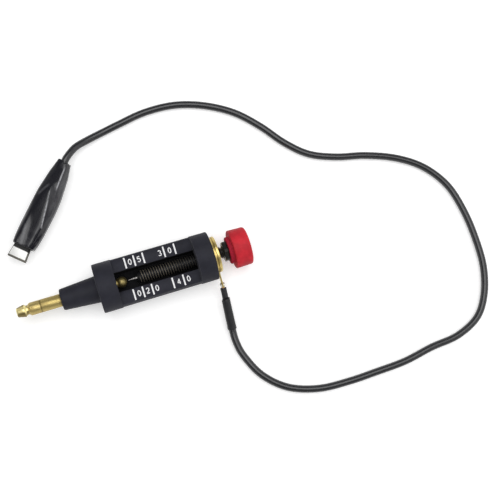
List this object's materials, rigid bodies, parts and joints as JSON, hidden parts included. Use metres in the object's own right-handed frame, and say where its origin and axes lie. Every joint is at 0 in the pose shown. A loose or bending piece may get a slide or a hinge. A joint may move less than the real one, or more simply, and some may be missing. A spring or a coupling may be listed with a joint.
{
  "type": "spark plug tester",
  "caption": "Ignition spark tester: round black body with a scale window, a needle gap set by a knob and screw, a brass plug terminal and a ground lead with a booted spring clip.",
  "frame": {"origin": "middle of the plug terminal where its bare barrel leaves the front face of the nose", "axes": "+X along the axis of the body towards the knob, +Z out of the window, +Y to the left when looking from the terminal to the knob"},
  "size_m": [0.2395, 0.1672, 0.0246],
  "materials": {
    "black_plastic": "satin moulded black",
    "red_plastic": "satin red",
    "brass": "turned brass",
    "steel": "bright steel",
    "nickel_steel": "nickel plated sheet",
    "black_steel": "black oxide",
    "copper": "bare copper strands",
    "solder": "bright solder",
    "heat_shrink": "matte black sleeve",
    "lead_jacket": "satin black jacket",
    "boot_vinyl": "glossy soft black"
  },
  "bodies": {
    "body": {"housing": "black_plastic", "terminal_cap": "brass", "electrode_rod": "brass", "threaded_bush": "brass", "lug_washer": "brass", "solder_lug": "brass", "lug_wire": "copper", "lug_solder": "solder", "sleeve_small": "heat_shrink", "sleeve_large": "heat_shrink", "test_lead": "lead_jacket", "clip_lower_jaw": "nickel_steel", "clip_rivet": "steel", "clip_spring": "steel", "clip_boot": "boot_vinyl", "clip_wire": "copper", "clip_solder": "solder"},
    "point": {"needle": "steel"},
    "adjuster": {"adjusting_screw": "black_steel", "jam_nut": "black_steel", "knob": "red_plastic"},
    "jaw": {"clip_upper_jaw": "nickel_steel"}
  },
  "joints": [
    {"name": "needle_slide", "type": "slide", "parent": "body", "child": "point", "axis": [1, 0, 0], "range_m": [-0.00032, 0.02794]},
    {"name": "knob_turn", "type": "hinge", "parent": "point", "child": "adjuster", "pos_m": [0.09, 0, 0], "axis": [1, 0, 0], "range_deg": [-91, 7925]},
    {"name": "clip_open", "type": "hinge", "parent": "body", "child": "jaw", "pos_m": [-0.00247, 0.0411, -0.00525], "axis": [-0.7547, 0.6561, 0], "range_deg": [0, 20], "stiffness_Nm_per_rad": 0.12, "springref_deg": -34.38, "deforming": ["clip_boot", "clip_spring"]}
  ],
  "couplings": [
    {"joint": "knob_turn", "follows": "needle_slide", "rad_per_m": 4947.4}
  ]
}
